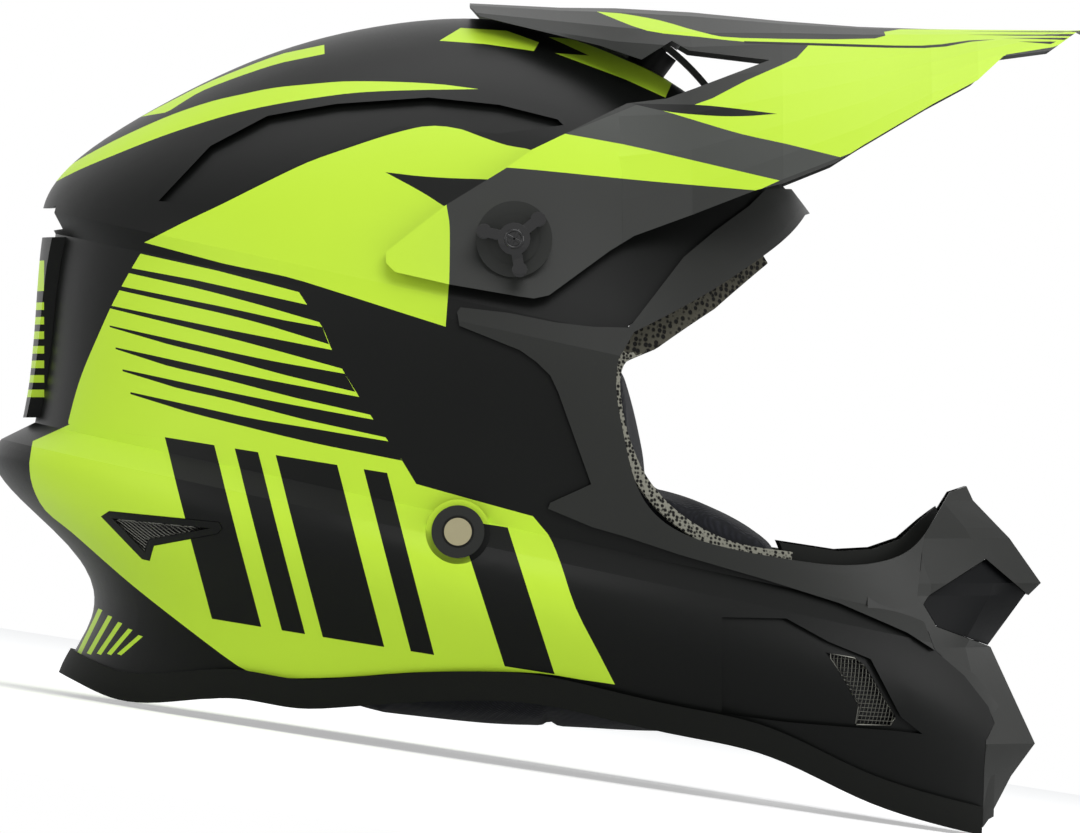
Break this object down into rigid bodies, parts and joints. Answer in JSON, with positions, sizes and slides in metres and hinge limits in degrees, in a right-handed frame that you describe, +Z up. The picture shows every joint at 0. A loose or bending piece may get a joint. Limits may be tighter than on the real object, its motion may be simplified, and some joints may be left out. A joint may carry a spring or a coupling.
{
  "type": "motocross helmet",
  "caption": "Full-face off-road helmet: moulded shell with chin bar and vents, tilting peak on thumb screws, foam liner, cheek pads and a double-D chin strap.",
  "frame": {"origin": "on the ground, under the middle of the bounding box, with the helmet resting on its chin and its neck edge", "axes": "+X forwards, +Y to the wearer's left, +Z up"},
  "size_m": [0.3698, 0.256, 0.2805],
  "materials": {
    "shell_plastic": "matt moulded ABS in black with bright yellow-green painted panels",
    "peak_plastic": "matt flexible moulding in bright yellow-green, dark grey and black",
    "satin_plastic": "fine-textured black moulding",
    "gloss_trim": "smooth black moulding",
    "rubber": "soft black edge rubber",
    "mesh": "fine black mesh",
    "foam": "black expanded polystyrene",
    "lining": "black brushed lining over soft foam",
    "steel": "satin steel",
    "webbing": "black woven webbing",
    "gloss_knob": "gloss black moulding",
    "dark_steel": "blackened steel",
    "brass": "turned"
  },
  "bodies": {
    "shell_body": {"breath_guard": "rubber", "centre_insert": "brass", "cheek_pad_left": "lining", "cheek_pad_right": "lining", "chin_foam": "foam", "chin_vent_mesh_left": "mesh", "chin_vent_mesh_right": "mesh", "crown_pad": "lining", "d_ring_inner": "steel", "d_ring_outer": "steel", "edge_trim": "rubber", "liner": "foam", "mouth_insert": "gloss_trim", "mouth_vent_mesh": "mesh", "mouthpiece": "satin_plastic", "neck_roll": "lining", "pivot_insert_left": "brass", "pivot_insert_right": "brass", "port_surround": "satin_plastic", "rear_slot_mesh": "mesh", "rear_vent_bezel_left": "gloss_trim", "rear_vent_bezel_right": "gloss_trim", "rear_vent_mesh_left": "mesh", "rear_vent_mesh_right": "mesh", "rivet_eyelet_left": "steel", "rivet_eyelet_right": "steel", "rivet_grommet_left": "satin_plastic", "rivet_grommet_right": "satin_plastic", "shell": "shell_plastic", "strap_left": "webbing", "strap_right": "webbing", "strap_rivet_left": "steel", "strap_rivet_right": "steel"},
    "peak_body": {"peak": "peak_plastic", "peak_tongue": "peak_plastic"},
    "thumb_screw_right_body": {"thumb_screw_right": "gloss_knob", "thumb_washer_right": "satin_plastic"},
    "thumb_screw_left_body": {"thumb_screw_left": "gloss_knob", "thumb_washer_left": "satin_plastic"},
    "centre_screw_body": {"centre_screw": "dark_steel"}
  },
  "joints": [
    {"name": "peak_tilt", "type": "hinge", "parent": "shell_body", "child": "peak_body", "pos_m": [-0.01868, 0, 0.17751], "axis": [0, -1, 0], "range_deg": [-2, 6]},
    {"name": "thumb_screw_right_turn", "type": "hinge", "parent": "shell_body", "child": "thumb_screw_right_body", "pos_m": [-0.01868, -0.118, 0.17751], "axis": [0, -1, 0], "continuous": true},
    {"name": "thumb_screw_left_turn", "type": "hinge", "parent": "shell_body", "child": "thumb_screw_left_body", "pos_m": [-0.01868, 0.118, 0.17751], "axis": [0, 1, 0], "continuous": true},
    {"name": "centre_screw_turn", "type": "hinge", "parent": "shell_body", "child": "centre_screw_body", "pos_m": [0.02101, 0, 0.25154], "axis": [0.4725, 0, 0.8813], "continuous": true}
  ]
}
